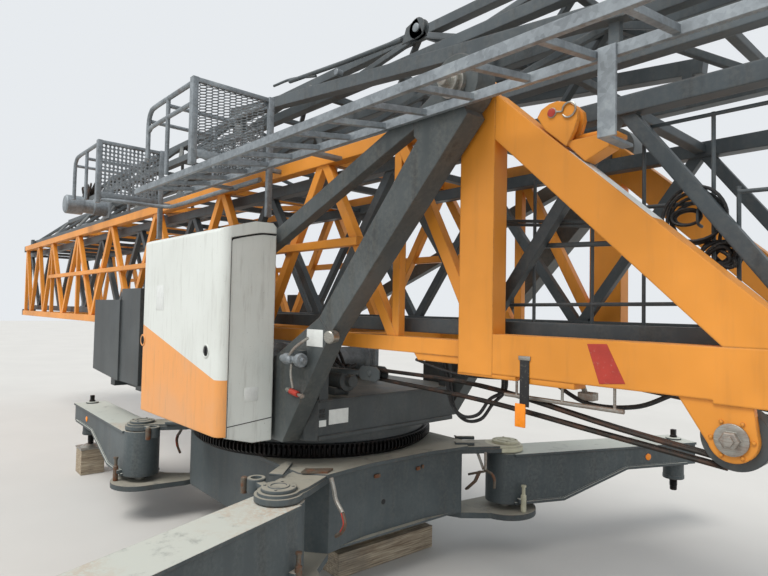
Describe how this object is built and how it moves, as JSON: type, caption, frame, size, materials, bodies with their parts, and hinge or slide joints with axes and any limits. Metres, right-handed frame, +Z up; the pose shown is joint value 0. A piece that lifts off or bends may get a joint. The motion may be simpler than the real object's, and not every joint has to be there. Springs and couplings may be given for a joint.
{
  "type": "folded fast-erecting tower crane",
  "caption": "Fast-erecting tower crane folded for storage: slewing platform on a four-arm undercarriage, hinged telescopic lattice tower and folded jib.",
  "frame": {"origin": "slewing axis at ground level, under the centre of the undercarriage", "axes": "+X along the folded tower towards its foot, -X towards its head, +Z up, cabinet on the -Y side"},
  "size_m": [12.06, 5.1916, 3.6325],
  "materials": {
    "undercarriage_paint": "worn satin paint with pale dust on top",
    "arm_paint": "worn satin paint with pale dust on top",
    "machined_steel": "machined, lightly rusted",
    "screw_steel": "black greased screw",
    "greased_gear": "greased dark teeth",
    "weathered_timber": "weathered rough-sawn",
    "platform_paint": "worn satin paint",
    "aframe_paint": "worn satin paint",
    "cabinet_skin": "glass-fibre skin, off-white over orange",
    "tower_paint": "worn yellow-orange paint",
    "galvanised": "galvanised, dull",
    "inner_paint": "satin dark grey paint",
    "jib_paint": "satin dark grey paint",
    "rope_steel": "greased wire rope"
  },
  "bodies": {
    "undercarriage": {"undercarriage_frame": "undercarriage_paint", "outrigger_pins": "machined_steel", "slewing_ring_gear": "greased_gear", "timbers": "weathered_timber", "foot_blocks": "weathered_timber", "foot_pads": "machined_steel"},
    "platform": {"platform_frame": "platform_paint", "slewing_race": "platform_paint", "rear_side_boxes": "platform_paint", "a_frame_legs": "aframe_paint", "rear_struts": "aframe_paint", "tower_hinge_pins": "machined_steel", "cabinet_housing": "cabinet_skin", "hoist_winches": "galvanised", "erection_ropes": "rope_steel"},
    "hood": {"cabinet_hood": "cabinet_skin"},
    "outer_tower": {"tower_side_right": "tower_paint", "tower_side_left": "tower_paint", "tower_top_bracing": "tower_paint", "tower_bottom_bracing": "tower_paint", "tower_guides": "aframe_paint", "foot_portal": "tower_paint", "foot_beams": "tower_paint", "foot_diagonals": "tower_paint", "erection_sheaves": "aframe_paint", "ladder": "galvanised", "ladder_hanger": "galvanised", "service_platforms": "galvanised"},
    "inner_tower": {"inner_tower_side_right": "inner_paint", "inner_tower_side_left": "inner_paint", "inner_tower_bracing": "inner_paint", "jib_bearings": "inner_paint"},
    "jib_root": {"jib_root_section": "jib_paint", "jib_struts": "jib_paint", "trolley_winch": "galvanised"},
    "jib_outer": {"jib_outer_section": "jib_paint"},
    "arm_front_right": {"outrigger_front_right": "arm_paint"},
    "screw_front_right": {"spindle_front_right": "screw_steel"},
    "arm_front_left": {"outrigger_front_left": "arm_paint"},
    "screw_front_left": {"spindle_front_left": "screw_steel"},
    "arm_rear_right": {"outrigger_rear_right": "arm_paint"},
    "screw_rear_right": {"spindle_rear_right": "screw_steel"},
    "arm_rear_left": {"outrigger_rear_left": "arm_paint"},
    "screw_rear_left": {"spindle_rear_left": "screw_steel"}
  },
  "joints": [
    {"name": "slewing", "type": "hinge", "parent": "undercarriage", "child": "platform", "pos_m": [0, 0, 0.87], "axis": [0, 0, 1], "continuous": true},
    {"name": "hood_opening", "type": "hinge", "parent": "platform", "child": "hood", "pos_m": [0.1, -0.821, 2.232], "axis": [-1, 0, 0], "range_deg": [0, 60]},
    {"name": "tower_raising", "type": "hinge", "parent": "platform", "child": "outer_tower", "pos_m": [2.12, 0, 2.76], "axis": [0, 1, 0], "range_deg": [0, 90], "deforming": ["erection_ropes"]},
    {"name": "tower_telescoping", "type": "slide", "parent": "outer_tower", "child": "inner_tower", "axis": [-1, 0, 0], "range_m": [0, 7.5]},
    {"name": "jib_raising", "type": "hinge", "parent": "inner_tower", "child": "jib_root", "pos_m": [-8.21, 0, 2.83], "axis": [0, 1, 0], "range_deg": [-90, 0]},
    {"name": "jib_unfolding", "type": "hinge", "parent": "jib_root", "child": "jib_outer", "pos_m": [3.71, 0, 3.26], "axis": [0, 1, 0], "range_deg": [0, 180]},
    {"name": "arm_swing_front_right", "type": "hinge", "parent": "undercarriage", "child": "arm_front_right", "pos_m": [1.09546, -1.00885, 0.56], "axis": [0, 0, 1], "range_deg": [-21, 69]},
    {"name": "screw_travel_front_right", "type": "slide", "parent": "arm_front_right", "child": "screw_front_right", "axis": [0, 0, 1], "range_m": [-0.2, 0.1]},
    {"name": "arm_swing_front_left", "type": "hinge", "parent": "undercarriage", "child": "arm_front_left", "pos_m": [1.16316, 0.92997, 0.56], "axis": [0, 0, 1], "range_deg": [-68, 22]},
    {"name": "screw_travel_front_left", "type": "slide", "parent": "arm_front_left", "child": "screw_front_left", "axis": [0, 0, 1], "range_m": [-0.2, 0.1]},
    {"name": "arm_swing_rear_right", "type": "hinge", "parent": "undercarriage", "child": "arm_rear_right", "pos_m": [-1.16316, -0.92997, 0.56], "axis": [0, 0, 1], "range_deg": [0, 90]},
    {"name": "screw_travel_rear_right", "type": "slide", "parent": "arm_rear_right", "child": "screw_rear_right", "axis": [0, 0, 1], "range_m": [0, 0.15]},
    {"name": "arm_swing_rear_left", "type": "hinge", "parent": "undercarriage", "child": "arm_rear_left", "pos_m": [-1.09546, 1.00885, 0.56], "axis": [0, 0, 1], "range_deg": [-90, 0]},
    {"name": "screw_travel_rear_left", "type": "slide", "parent": "arm_rear_left", "child": "screw_rear_left", "axis": [0, 0, 1], "range_m": [0, 0.15]}
  ]
}
